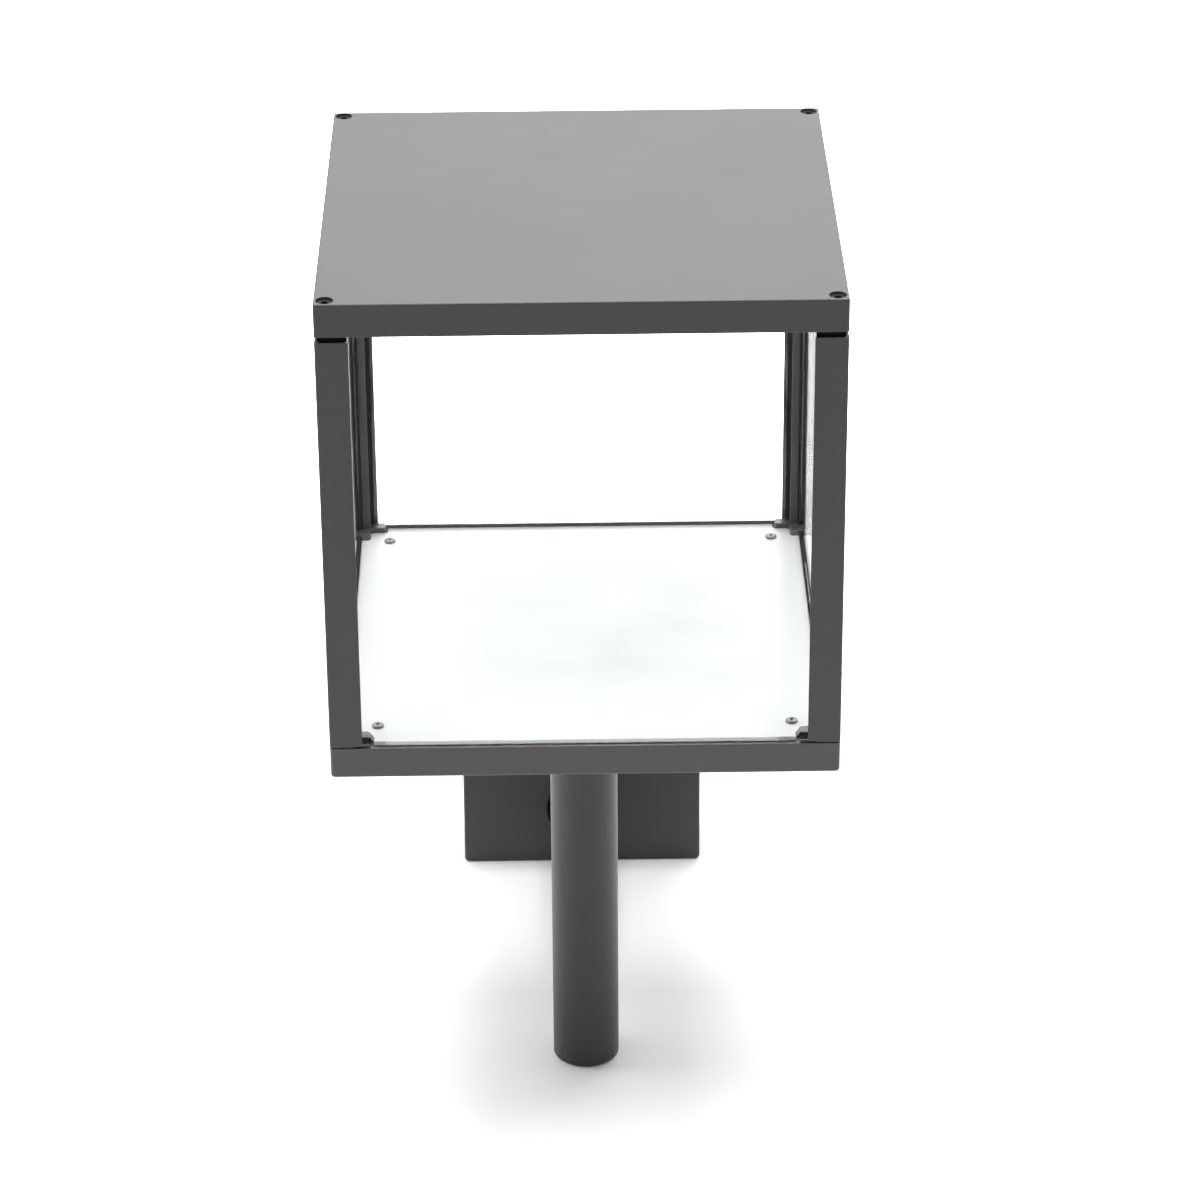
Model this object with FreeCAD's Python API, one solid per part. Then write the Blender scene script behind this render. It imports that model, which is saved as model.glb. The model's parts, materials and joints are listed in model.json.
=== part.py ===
import FreeCAD, Part
import math
import os

# Wall-bracket lantern: a square glazed head on a round stem, carried by a short arm from a wall box.
# Millimetres. +Z is up and +Y points into the wall. The origin is the centre of the wall plate's
# back face, on the arm's axis. The front of the lantern faces -Y and its left side is -X.

Vector = FreeCAD.Vector
ORIGIN = Vector(0, 0, 0)
X_AXIS = Vector(1, 0, 0)
Y_AXIS = Vector(0, 1, 0)
Z_AXIS = Vector(0, 0, 1)

# ---------------------------------------------------------------- driving dimensions
# Where the main pieces stand
reach = 223.0               # wall face to the stem's axis
stem_drop = 33.0            # arm's axis down to the stem's foot
head_rise = 190.3           # arm's axis up to the underside of the head

# Head: square in plan, measured up from its own underside
head_width = 230.0
base_height = 15.0
post_foot = 16.2            # the posts start here, above the corner shoes
post_top = 214.2
cap_bottom = 216.8
cap_top = 232.1

# Corner posts: a square core with two lips that cover the panes' edges
post_core = 11.0
post_lip_reach = 14.7
post_lip_thickness = 1.2
screw_inset = 5.0           # screw axes in from both outer faces
tape_thickness = 0.8
tape_gap = 0.5              # tape to post core
tape_inset = 1.3            # tape in from the lip's edge

# Corner shoes, measured in from the head's outer faces and up from its underside
shoe_inset = 0.6
shoe_reach = 19.8
shoe_slant = 1.8
shoe_arm_inner = 11.5
shoe_top = 17.6
shoe_lip_top = 16.2
shoe_hole_slack = 0.1
cap_shoe_inset = 2.5
cap_shoe_skin = 0.6

# Glazing
glass_thickness = 4.0
pane_bottom = 15.6
pane_top = 222.0
pane_side_gap = 0.3
bead_width = 0.6
bead_top = 16.9
strip_top_height = 2.0

# Cap
cap_skirt = 1.6
cap_plate = 2.5
reflector_thickness = 1.0

# Base tray and diffuser
base_floor = 3.0
ledge_height = 11.2
gasket_thickness = 0.8
diffuser_thickness = 3.0
diffuser_screw_place = 94.0
ledge_inner_half = 101.0
corner_pad = 12.0
diffuser_gap = 0.2

# Light source
board_side = 150.0
board_thickness = 1.6
thermal_pad_thickness = 0.5
led_size = 3.5
led_height = 0.7
led_rows = 6
led_pitch = 24.0

# Stem, arm and the swivel between stem and head
stem_radius = 16.2
stem_wall = 2.0
plug_height = 4.0
plug_insert = 10.0
swivel_clearance = 0.05
hub_radius = 32.0
hub_thickness = 5.0
spigot_length = 32.0
washer_thickness = 0.8
swivel_half_turn = 90.0     # degrees each way, stopped by the ends of the spigot's groove
grub_radius = 2.5
grub_drop = 18.0            # grub screw below the stem's top
arm_radius = 15.0
arm_bore_radius = 12.5
arm_tail = 10.0             # threaded tail of the arm inside the wall box

# Wall box
wall_box_width = 126.0
wall_box_height = 66.0
wall_box_depth = 38.0
wall_box_corner = 2.7
wall_box_front = 4.0
wall_box_side = 3.0
wall_gasket_thickness = 1.5
arm_seal_radius = 18.5
arm_seal_thickness = 2.5
arm_collar_radius = 17.0
arm_collar_thickness = 4.0
wall_plate_thickness = 2.5
wall_plate_gap = 0.3
wall_slot_spacing = 92.0
wall_slot_length = 12.0
wall_slot_radius = 2.75
entry_hole_radius = 9.0
entry_bore_radius = 4.5
lead_radius = 2.2

# ---------------------------------------------------------------- derived dimensions
head_half = head_width / 2
glass_outer = post_lip_thickness + tape_thickness       # in from the head's outer faces
glass_inner = glass_outer + glass_thickness
bead_inner = glass_inner + bead_width
rim_width = glass_inner
cap_ceiling = cap_top - cap_plate
reflector_bottom = pane_top + strip_top_height
diffuser_bottom = base_height - diffuser_thickness
diffuser_half = head_half - rim_width - diffuser_gap
board_bottom = base_floor + thermal_pad_thickness
board_top = board_bottom + board_thickness
stem_bore_radius = stem_radius - stem_wall
stem_top = head_rise - hub_thickness - washer_thickness - swivel_clearance
stem_foot = -stem_drop + plug_height
grub_height = stem_top - grub_drop
box_front_y = -wall_box_depth
cavity_front_y = box_front_y + wall_box_front
head_place = Vector(0, -reach, head_rise)
corner_names = ["front_left", "front_right", "rear_right", "rear_left"]
side_names = ["front", "right", "rear", "left"]

parts = {}


# ---------------------------------------------------------------- shape helpers
def box(x_range, y_range, z_range):
    """An upright block between three pairs of limits."""
    low = Vector(x_range[0], y_range[0], z_range[0])
    return Part.makeBox(x_range[1] - x_range[0], y_range[1] - y_range[0], z_range[1] - z_range[0], low)


def square(half, z_range):
    """A square block centred on the vertical axis."""
    return box((-half, half), (-half, half), z_range)


def corner_box(across, along, z_range):
    """A block in the front left corner of the head; both plan ranges run inwards from its outer faces."""
    return box(
        (-head_half + across[0], -head_half + across[1]),
        (-head_half + along[0], -head_half + along[1]),
        z_range,
    )


def corner_pair(across, along, z_range):
    """A corner block and its mirror image about the corner's diagonal, as one list."""
    return [corner_box(across, along, z_range), corner_box(along, across, z_range)]


def fuse(shapes):
    """Join shapes into one solid without leftover seams."""
    return shapes[0].multiFuse(shapes[1:]).removeSplitter()


def edges_where(shape, test):
    """The edges whose every end point passes the test."""
    return [edge for edge in shape.Edges if all(test(vertex.Point) for vertex in edge.Vertexes)]


def rounded_block(half_x, half_y, z_range, corner, bottom, top):
    """A centred block with rounded upright corners and rounded bottom and top edges."""
    block = box((-half_x, half_x), (-half_y, half_y), z_range)
    upright = [edge for edge in block.Edges if abs(edge.Vertexes[0].Z - edge.Vertexes[1].Z) > 0.5]
    block = block.makeFillet(corner, upright)
    for radius, level in ((bottom, z_range[0]), (top, z_range[1])):
        rim = edges_where(block, lambda point: abs(point.z - level) < 1e-6)
        if radius > 0:
            block = block.makeFillet(radius, rim)
    return block


def ring(outer_radius, inner_radius, start, direction, length):
    """A round tube from a start point along a direction."""
    outside = Part.makeCylinder(outer_radius, length, start, direction)
    return outside.cut(Part.makeCylinder(inner_radius, length, start, direction))


def hexagon(across_flats, start, direction, length):
    """A hexagonal bar from a start point along a direction."""
    radius = across_flats / math.sqrt(3)
    outline = []
    for index in range(7):
        angle = math.radians(60 * index)
        outline.append(Vector(radius * math.cos(angle), radius * math.sin(angle), 0))
    bar = Part.Face(Part.makePolygon(outline)).extrude(Z_AXIS * length)
    return aim(bar, start, direction)


def aim(shape, place, direction):
    """Turn a shape modelled along +Z to a direction, then move it to a place."""
    turned = shape.copy()
    turned.Placement = FreeCAD.Placement(place, FreeCAD.Rotation(Z_AXIS, direction))
    return turned


def countersunk_screw(place, direction, radius, head_radius, length, socket):
    """A flat-headed screw with a hexagonal socket; direction points out of its head."""
    head_depth = head_radius - radius
    head = Part.makeCone(radius, head_radius, head_depth, Vector(0, 0, -head_depth))
    shank = Part.makeCylinder(radius, length - head_depth, Vector(0, 0, -length))
    screw = fuse([head, shank]).cut(hexagon(socket, Vector(0, 0, -0.6 * head_depth), Z_AXIS, head_depth))
    return aim(screw, place, direction)


def countersunk_hole(place, direction, radius, head_radius, depth):
    """The hole for a flat-headed screw, a little wider than the screw and open above its head."""
    slack = 0.1
    above = 1.0
    cone_depth = head_radius - radius
    cone = Part.makeCone(radius + slack, head_radius + slack, cone_depth, Vector(0, 0, -cone_depth))
    shaft = Part.makeCylinder(radius + slack, depth + above, Vector(0, 0, -depth))
    mouth = Part.makeCylinder(head_radius + slack, above)
    return aim(fuse([cone, shaft, mouth]), place, direction)


def pan_screw(place, direction, radius, head_radius, head_height, length, socket):
    """A round-headed screw with a hexagonal socket; place is under its head."""
    head = Part.makeCylinder(head_radius, head_height)
    head = head.makeFillet(0.6 * head_height, edges_where(head, lambda point: point.z > 0.5 * head_height))
    shank = Part.makeCylinder(radius, length, Vector(0, 0, -length))
    screw = fuse([head, shank]).cut(hexagon(socket, Vector(0, 0, 0.4 * head_height), Z_AXIS, head_height))
    return aim(screw, place, direction)


def lead(points, bends, radius):
    """A cable along straight runs joined by round bends, one bend radius for each inner point."""
    edges = []
    start = points[0]
    for index, bend in enumerate(bends, start=1):
        corner = points[index]
        back = (points[index - 1] - corner).normalize()
        ahead = (points[index + 1] - corner).normalize()
        half_turn = back.getAngle(ahead) / 2
        trim = bend / math.tan(half_turn)
        middle_way = (back + ahead).normalize()
        middle = corner + middle_way * (bend / math.sin(half_turn) - bend)
        edges.append(Part.LineSegment(start, corner + back * trim).toShape())
        edges.append(Part.Arc(corner + back * trim, middle, corner + ahead * trim).toShape())
        start = corner + ahead * trim
    edges.append(Part.LineSegment(start, points[-1]).toShape())
    path = Part.Wire(edges)
    first_way = points[1] - points[0]
    section = Part.Wire(Part.Circle(points[0], first_way, radius).toShape())
    return path.makePipeShell([section], True, False)


def turn_about_head(shape, quarter):
    """Turn a shape in the head's own frame by quarter turns."""
    turned = shape.copy()
    turned.rotate(ORIGIN, Z_AXIS, 90 * quarter)
    return turned


def four_ways(shape):
    """The four copies of a shape round the head, as separate solids in one group."""
    return Part.makeCompound([turn_about_head(shape, quarter) for quarter in range(4)])


def add(name, shape):
    """Keep a sub-part that is already in the lantern's frame."""
    parts[name] = shape


def add_to_head(name, shape):
    """Keep a sub-part modelled in the head's own frame, moved to its place on the stem."""
    placed = shape.copy()
    placed.translate(head_place)
    parts[name] = placed


def add_per_corner(name, shape):
    """Keep a front left corner piece and its three turned copies, each under its own name."""
    for quarter, corner_name in enumerate(corner_names):
        add_to_head(f"{name}_{corner_name}", turn_about_head(shape, quarter))


def add_per_side(name, shape):
    """Keep a front piece and its three turned copies, each under its own name."""
    for quarter, side_name in enumerate(side_names):
        add_to_head(f"{name}_{side_name}", turn_about_head(shape, quarter))


# ---------------------------------------------------------------- head: posts and shoes
corner_screw_place = Vector(-head_half + screw_inset, -head_half + screw_inset, 0)
corner_screw_radius = 2.0
cap_screw_head_radius = 3.75
base_screw_head_radius = 3.5
cap_screw_length = 35.0
base_screw_length = 32.0
screw_socket = 2.5
cap_screw_socket = 3.0
screw_sink = 0.25
cap_screw_sink = 1.0
shoe_arm_start = post_core - 1.0


def corner_post():
    """A square extrusion with two lips and a screw port along its whole length."""
    height = (post_foot, post_top)
    core = corner_box((0, post_core), (0, post_core), height)
    lips = corner_pair((0, post_lip_reach), (0, post_lip_thickness), height)
    post = fuse([core] + lips)
    outer_edge = edges_where(
        post, lambda point: abs(point.x + head_half) < 1e-6 and abs(point.y + head_half) < 1e-6
    )
    post = post.makeFillet(0.8, outer_edge)
    port_start = corner_screw_place + Z_AXIS * post_foot
    return post.cut(Part.makeCylinder(corner_screw_radius, post_top - post_foot, port_start))


def shoe_arm():
    """One low arm of a bottom shoe, inside the front pane, with a slanted end and a rounded corner."""
    outline = [
        (shoe_arm_start, base_height),
        (shoe_reach, base_height),
        (shoe_reach - shoe_slant, shoe_top),
        (shoe_arm_start, shoe_top),
    ]
    points = [Vector(-head_half + along, -head_half + glass_inner, level) for along, level in outline]
    arm = Part.Face(Part.makePolygon(points + points[:1])).extrude(Y_AXIS * (shoe_arm_inner - glass_inner))
    slant_start = -head_half + shoe_reach - shoe_slant - 0.1
    back = -head_half + shoe_arm_inner - 0.1
    end_edge = edges_where(arm, lambda point: point.x > slant_start and point.y > back)
    return arm.makeFillet(1.5, end_edge)


def bottom_shoe():
    """A moulded shoe under a post: a pad in the seam, and two arms that hold the panes' lower corners."""
    along = (shoe_arm_start, shoe_reach - shoe_slant)
    pad = corner_box((shoe_inset, post_core), (shoe_inset, post_core), (base_height, post_foot))
    bridges = corner_pair(along, (glass_outer, glass_inner), (base_height, pane_bottom))
    outer_lips = corner_pair(along, (post_lip_thickness, glass_outer), (base_height, shoe_lip_top))
    arm = shoe_arm()
    other_arm = arm.mirror(ORIGIN, Vector(1, -1, 0))
    shoe = fuse([pad, arm, other_arm] + bridges + outer_lips)
    post_seat = corner_box((0, post_core), (0, post_core), (post_foot, shoe_top + 1))
    hole_start = corner_screw_place + Z_AXIS * (base_height - 1)
    screw_hole = Part.makeCylinder(corner_screw_radius + shoe_hole_slack, shoe_top, hole_start)
    return shoe.cut([post_seat, screw_hole])


def top_shoe():
    """A moulded spacer between post and cap, set in from the outer faces to leave a deep shadow gap."""
    gap = (post_top, cap_bottom)
    skin_outer = glass_outer - 0.1 - cap_shoe_skin
    pad = corner_box((cap_shoe_inset, post_core), (cap_shoe_inset, post_core), gap)
    skins = corner_pair((cap_shoe_inset, post_lip_reach - 0.5), (skin_outer, skin_outer + cap_shoe_skin), gap)
    hole_start = corner_screw_place + Z_AXIS * (post_top - 1)
    hole_length = cap_bottom - post_top + 2
    screw_hole = Part.makeCylinder(corner_screw_radius + shoe_hole_slack, hole_length, hole_start)
    return fuse([pad] + skins).cut(screw_hole)


add_per_corner("post", corner_post())
add_per_corner("bottom_shoe", bottom_shoe())
add_per_corner("top_shoe", top_shoe())


# ---------------------------------------------------------------- head: glazing
def front_layer(half_length, depth, z_range):
    """A block across the front of the head; depth runs inwards from the outer face."""
    return box((-half_length, half_length), (-head_half + depth[0], -head_half + depth[1]), z_range)


pane_half = head_half - post_core - pane_side_gap
pane = front_layer(pane_half, (glass_outer, glass_inner), (pane_bottom, pane_top))
add_per_side("glass", pane)

# Rubber along the foot of the rear, right and left panes. The front pane has no bead.
bead_half = head_half - shoe_reach
bead = front_layer(bead_half, (glass_inner, bead_inner), (base_height, bead_top))
for quarter in (1, 2, 3):
    add_to_head(f"glazing_bead_{side_names[quarter]}", turn_about_head(bead, quarter))

# Clear silicone strips that the panes stand on, and rubber strips that the cap presses on them
setting_strip = front_layer(bead_half, (glass_outer + 0.2, glass_inner - 0.2), (base_height, pane_bottom))
add_to_head("setting_strips", four_ways(setting_strip))
cap_strip = front_layer(pane_half, (glass_outer, glass_inner), (pane_top, reflector_bottom))
add_to_head("cap_strips", four_ways(cap_strip))


def glazing_tapes():
    """Two black tapes on each post, between its lips and the panes."""
    height = (shoe_top, post_top)
    width = (post_core + tape_gap, post_lip_reach - tape_inset)
    thickness = (post_lip_thickness, glass_outer)
    tapes = []
    for quarter in range(4):
        for tape in corner_pair(width, thickness, height):
            tapes.append(turn_about_head(tape, quarter))
    return Part.makeCompound(tapes)


add_to_head("glazing_tapes", glazing_tapes())


# ---------------------------------------------------------------- head: cap
def cap_shell():
    """A square tray, open below, with a screw boss in each corner and a rib that presses the reflector."""
    outside = rounded_block(head_half, head_half, (cap_bottom, cap_top), 1.0, 0.4, 0.6)
    hollow = square(head_half - cap_skirt, (cap_bottom - 1, cap_ceiling))
    boss = corner_box((0.5, post_core), (0.5, post_core), (cap_bottom, cap_ceiling))
    bosses = [turn_about_head(boss, quarter) for quarter in range(4)]
    rib_half = 100.0
    rib_height = (reflector_bottom + reflector_thickness, cap_ceiling)
    rib = square(rib_half, rib_height).cut(square(rib_half - 2.0, rib_height))
    cap = fuse([outside.cut(hollow)] + bosses + [rib])
    hole = countersunk_hole(
        corner_screw_place + Z_AXIS * (cap_top - cap_screw_sink), Z_AXIS,
        corner_screw_radius, cap_screw_head_radius, cap_top - cap_bottom + 2,
    )
    return cap.cut(four_ways(hole))


def cap_screws():
    """The four long screws from the cap's top into the posts."""
    place = corner_screw_place + Z_AXIS * (cap_top - cap_screw_sink)
    screw = countersunk_screw(
        place, Z_AXIS, corner_screw_radius, cap_screw_head_radius, cap_screw_length, cap_screw_socket
    )
    return four_ways(screw)


def reflector():
    """A white sheet that closes the cap's underside, notched round the screw bosses."""
    height = (reflector_bottom, reflector_bottom + reflector_thickness)
    sheet = square(head_half - cap_skirt - 0.4, height)
    notch = corner_box((0, post_core + 0.4), (0, post_core + 0.4), height)
    return sheet.cut(four_ways(notch))


add_to_head("cap_shell", cap_shell())
add_to_head("cap_screws", cap_screws())
add_to_head("reflector", reflector())


# ---------------------------------------------------------------- head: base tray and diffuser
diffuser_boss_radius = 4.5
diffuser_screw_radius = 1.5
diffuser_screw_head_radius = 2.75
diffuser_screw_head_height = 1.1
diffuser_screw_length = 10.0
diffuser_screw_socket = 1.6
diffuser_hole_depth = 7.0
diffuser_corner = Vector(-diffuser_screw_place, -diffuser_screw_place, 0)
hub_screw_place = Vector(22.0, 0, 0)
hub_screw_radius = 2.0
hub_screw_head_radius = 3.6
grommet_radius = 6.0
hub_bore_radius = 6.0


def base_tray():
    """The lantern's floor: a tray with a ledge for the diffuser, bosses for its screws and solid corners."""
    outside = rounded_block(head_half, head_half, (0, base_height), 2.0, 1.4, 0)
    upper = square(head_half - rim_width, (ledge_height, base_height + 1))
    lower = square(ledge_inner_half, (base_floor, base_height))
    corner = corner_box((0.8, corner_pad), (0.8, corner_pad), (ledge_height - 1, base_height))
    boss_start = diffuser_corner + Z_AXIS * base_floor
    screw_boss = Part.makeCylinder(diffuser_boss_radius, ledge_height - base_floor, boss_start)
    additions = []
    for quarter in range(4):
        additions.append(turn_about_head(corner, quarter))
        additions.append(turn_about_head(screw_boss, quarter))
    tray = fuse([outside.cut(upper).cut(lower)] + additions)
    post_hole = countersunk_hole(
        corner_screw_place + Z_AXIS * screw_sink, -Z_AXIS,
        corner_screw_radius, base_screw_head_radius, base_height + 2,
    )
    hole_start = diffuser_corner + Z_AXIS * (ledge_height - diffuser_hole_depth)
    diffuser_hole = Part.makeCylinder(diffuser_screw_radius, diffuser_hole_depth + 1, hole_start)
    hub_hole = countersunk_hole(
        hub_screw_place + Z_AXIS * (base_floor - screw_sink), Z_AXIS,
        hub_screw_radius, hub_screw_head_radius, base_floor + 2,
    )
    lead_hole = Part.makeCylinder(grommet_radius, base_floor + 2, Vector(0, 0, -1))
    return tray.cut([four_ways(post_hole), four_ways(diffuser_hole), four_ways(hub_hole), lead_hole])


def diffuser_outline(half, z_range, notch):
    """A square sheet with its corners cut away for the tray's corner pads."""
    return square(half, z_range).cut(four_ways(corner_box((0, notch), (0, notch), z_range)))


def diffuser():
    """The opal panel, flush with the tray's rim, with a clearance hole for each screw."""
    panel = diffuser_outline(diffuser_half, (diffuser_bottom, base_height), corner_pad + 0.4)
    hole = Part.makeCylinder(diffuser_screw_radius + 0.2, 10, diffuser_corner + Z_AXIS * diffuser_bottom)
    return panel.cut(four_ways(hole))


def diffuser_gasket():
    """The flat rubber frame between the tray's ledge and the diffuser."""
    height = (ledge_height, diffuser_bottom)
    frame = diffuser_outline(diffuser_half, height, corner_pad + 0.4)
    return frame.cut(square(ledge_inner_half, height))


def diffuser_screws():
    """Four small round-headed screws through the diffuser into the tray's bosses."""
    place = diffuser_corner + Z_AXIS * base_height
    screw = pan_screw(
        place, Z_AXIS, diffuser_screw_radius, diffuser_screw_head_radius,
        diffuser_screw_head_height, diffuser_screw_length, diffuser_screw_socket,
    )
    return four_ways(screw)


def base_screws():
    """Four screws from below the tray into the posts."""
    place = corner_screw_place + Z_AXIS * screw_sink
    screw = countersunk_screw(
        place, -Z_AXIS, corner_screw_radius, base_screw_head_radius, base_screw_length, screw_socket
    )
    return four_ways(screw)


add_to_head("base_tray", base_tray())
add_to_head("diffuser", diffuser())
add_to_head("diffuser_gasket", diffuser_gasket())
add_to_head("diffuser_screws", diffuser_screws())
add_to_head("base_screws", base_screws())


# ---------------------------------------------------------------- head: light source
connector_start = 20.0
connector_length = 12.0
connector_half_width = 6.0
connector_height = 6.0
grommet_flange_radius = 8.0
grommet_flange_height = 1.5
board_hole_radius = 10.0
head_lead_start = -22.0     # the head's lead meets the stem's lead here, inside the spigot
head_lead_height = 8.4
head_lead_bend = 3.6


def led_board():
    """The aluminium board that carries the light sources, open in the middle for the lead."""
    board = square(board_side / 2, (board_bottom, board_top))
    return board.cut(Part.makeCylinder(board_hole_radius, board_thickness, Vector(0, 0, board_bottom)))


def thermal_pad():
    """The soft sheet that carries heat from the board to the tray."""
    pad = square(board_side / 2, (base_floor, board_bottom))
    return pad.cut(Part.makeCylinder(board_hole_radius, thermal_pad_thickness, Vector(0, 0, base_floor)))


def led_packages():
    """A square grid of light-emitting packages on the board."""
    first = -led_pitch * (led_rows - 1) / 2
    spread = led_size / 2
    height = (board_top, board_top + led_height)
    packages = []
    for row in range(led_rows):
        for column in range(led_rows):
            x = first + column * led_pitch
            y = first + row * led_pitch
            packages.append(box((x - spread, x + spread), (y - spread, y + spread), height))
    return Part.makeCompound(packages)


def led_connector():
    """The push-in connector at the end of the head's lead."""
    return box(
        (connector_start, connector_start + connector_length),
        (-connector_half_width, connector_half_width),
        (board_top, board_top + connector_height),
    )


def lead_grommet():
    """A rubber bush that seals the lead where it comes up through the tray."""
    body = ring(grommet_radius, lead_radius, ORIGIN, Z_AXIS, base_floor)
    flange = ring(grommet_flange_radius, lead_radius, Vector(0, 0, base_floor), Z_AXIS, grommet_flange_height)
    return fuse([body, flange])


def head_lead():
    """The lead from the swivel up through the grommet and across to the connector."""
    route = [
        Vector(0, 0, head_lead_start),
        Vector(0, 0, head_lead_height),
        Vector(connector_start, 0, head_lead_height),
    ]
    return lead(route, [head_lead_bend], lead_radius)


add_to_head("thermal_pad", thermal_pad())
add_to_head("led_board", led_board())
add_to_head("led_packages", led_packages())
add_to_head("led_connector", led_connector())
add_to_head("lead_grommet", lead_grommet())
add_to_head("head_lead", head_lead())


# ---------------------------------------------------------------- swivel between head and stem
groove_floor_radius = 13.1
groove_half_height = 2.0
grub_tip_radius = 1.75
grub_socket_depth = 1.0


def swivel_groove():
    """The part-circle groove in the spigot. Its two ends stop the grub screw's tip."""
    level = grub_height - head_rise
    tip_angle = math.degrees(math.asin(grub_tip_radius / groove_floor_radius))
    sweep = 2 * (swivel_half_turn + tip_angle)
    outer_radius = stem_bore_radius + 1
    low = Vector(0, 0, level - groove_half_height)
    outer = Part.makeCylinder(outer_radius, 2 * groove_half_height, low, Z_AXIS, sweep)
    outer.rotate(ORIGIN, Z_AXIS, 90 - sweep / 2)
    return outer.cut(Part.makeCylinder(groove_floor_radius, 2 * groove_half_height, low))


def swivel_hub():
    """The turned flange under the tray, with a hollow spigot that turns inside the stem."""
    plate = Part.makeCylinder(hub_radius, hub_thickness, Vector(0, 0, -hub_thickness))
    plate = plate.makeFillet(1.0, edges_where(plate, lambda point: point.z < -0.5 * hub_thickness))
    spigot_radius = stem_bore_radius - swivel_clearance
    spigot_foot = Vector(0, 0, -hub_thickness - spigot_length)
    spigot = Part.makeCylinder(spigot_radius, spigot_length, spigot_foot)
    spigot = spigot.makeChamfer(1.0, edges_where(spigot, lambda point: point.z < -hub_thickness - 1))
    bore = Part.makeCylinder(hub_bore_radius, spigot_length + hub_thickness, spigot_foot)
    screw_hole = Part.makeCylinder(hub_screw_radius, hub_thickness, hub_screw_place - Z_AXIS * hub_thickness)
    return fuse([plate, spigot]).cut([bore, four_ways(screw_hole), swivel_groove()])


def hub_screws():
    """Four screws that hold the hub to the tray, sunk in the tray's floor."""
    place = hub_screw_place + Z_AXIS * (base_floor - screw_sink)
    length = base_floor - screw_sink + hub_thickness - 0.5
    screw = countersunk_screw(place, Z_AXIS, hub_screw_radius, hub_screw_head_radius, length, screw_socket)
    return four_ways(screw)


def swivel_washer():
    """A nylon ring that the hub turns on."""
    return ring(stem_radius, stem_bore_radius, Vector(0, -reach, stem_top), Z_AXIS, washer_thickness)


def grub_screw():
    """The locking screw in the back of the stem, with its tip in the spigot's groove."""
    outside = Vector(0, -reach + stem_radius - 0.2, grub_height)
    body_length = stem_wall - 0.4
    tip_length = stem_bore_radius - groove_floor_radius + 0.2 - swivel_clearance
    body = Part.makeCylinder(grub_radius, body_length, outside, -Y_AXIS)
    tip = Part.makeCylinder(grub_tip_radius, body_length + tip_length, outside, -Y_AXIS)
    socket = hexagon(screw_socket, outside - Y_AXIS * grub_socket_depth, Y_AXIS, 2 * grub_socket_depth)
    return fuse([body, tip]).cut(socket)


add_to_head("swivel_hub", swivel_hub())
add_to_head("hub_screws", hub_screws())
add("swivel_washer", swivel_washer())
add("grub_screw", grub_screw())

# ---------------------------------------------------------------- bracket: stem and arm
stem_lead_hole_radius = 11.0
stem_foot_point = Vector(0, -reach, stem_foot)


def stem_tube():
    """The upright tube, with a window for the lead behind it and a tapped hole for the grub screw."""
    tube = ring(stem_radius, stem_bore_radius, stem_foot_point, Z_AXIS, stem_top - stem_foot)
    window = Part.makeCylinder(stem_lead_hole_radius, stem_radius + 5, Vector(0, -reach, 0), Y_AXIS)
    tapped = Part.makeCylinder(grub_radius, stem_radius + 5, Vector(0, -reach, grub_height), Y_AXIS)
    return tube.cut([window, tapped])


def stem_plug():
    """The rounded plug that closes the stem's foot."""
    foot = Part.makeCylinder(stem_radius, plug_height, Vector(0, -reach, -stem_drop))
    foot = foot.makeFillet(2.0, edges_where(foot, lambda point: point.z < -stem_drop + 0.5))
    return fuse([foot, Part.makeCylinder(stem_bore_radius, plug_insert, stem_foot_point)])


def arm_tube():
    """The level tube from the stem to the wall box, saddle-cut to the stem, with a collar by the box."""
    tail_y = cavity_front_y + arm_tail
    tube = Part.makeCylinder(arm_radius, tail_y + reach, Vector(0, -reach, 0), Y_AXIS)
    collar_y = box_front_y - arm_seal_thickness - arm_collar_thickness
    collar = Part.makeCylinder(arm_collar_radius, arm_collar_thickness, Vector(0, collar_y, 0), Y_AXIS)
    collar = collar.makeFillet(0.8, edges_where(collar, lambda point: point.y < collar_y + 0.5))
    bore = Part.makeCylinder(arm_bore_radius, tail_y + reach, Vector(0, -reach, 0), Y_AXIS)
    stem_body = Part.makeCylinder(stem_radius, 100, Vector(0, -reach, -50))
    return fuse([tube, collar]).cut([bore, stem_body])


def arm_lock_nut():
    """The nut on the arm's tail that pulls the collar and seal against the box."""
    thickness = 6.0
    across_flats = 36.0
    nut = hexagon(across_flats, Vector(0, cavity_front_y, 0), Y_AXIS, thickness)
    return nut.cut(Part.makeCylinder(arm_radius, thickness, Vector(0, cavity_front_y, 0), Y_AXIS))


add("stem_tube", stem_tube())
add("stem_plug", stem_plug())
add("arm_tube", arm_tube())
add("arm_lock_nut", arm_lock_nut())
seal_start = Vector(0, box_front_y - arm_seal_thickness, 0)
add("arm_seal", ring(arm_seal_radius, arm_radius, seal_start, Y_AXIS, arm_seal_thickness))

# ---------------------------------------------------------------- bracket: wall box
box_half_width = wall_box_width / 2
box_half_height = wall_box_height / 2
cavity_half_width = box_half_width - wall_box_side
cavity_half_height = box_half_height - wall_box_side
plate_half_width = cavity_half_width - wall_plate_gap
plate_half_height = cavity_half_height - wall_plate_gap
ear_depth = 11.5
ear_half_height = 9.0
side_screw_y = -9.0
side_screw_head_radius = 3.75
side_screw_radius = 2.0
side_screw_length = 9.0
earth_radius = 2.0
earth_head_radius = 4.0
earth_head_height = 2.6
earth_socket = 2.0
earth_place = Vector(-24.0, -wall_plate_thickness, -19.0)


def level_block(half_x, half_z, y_range, corner, front):
    """A block lying along Y with rounded long edges and a rounded front rim."""
    block = rounded_block(half_x, half_z, (-y_range[1], -y_range[0]), corner, 0, front)
    block.rotate(ORIGIN, X_AXIS, 90)
    return block


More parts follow.
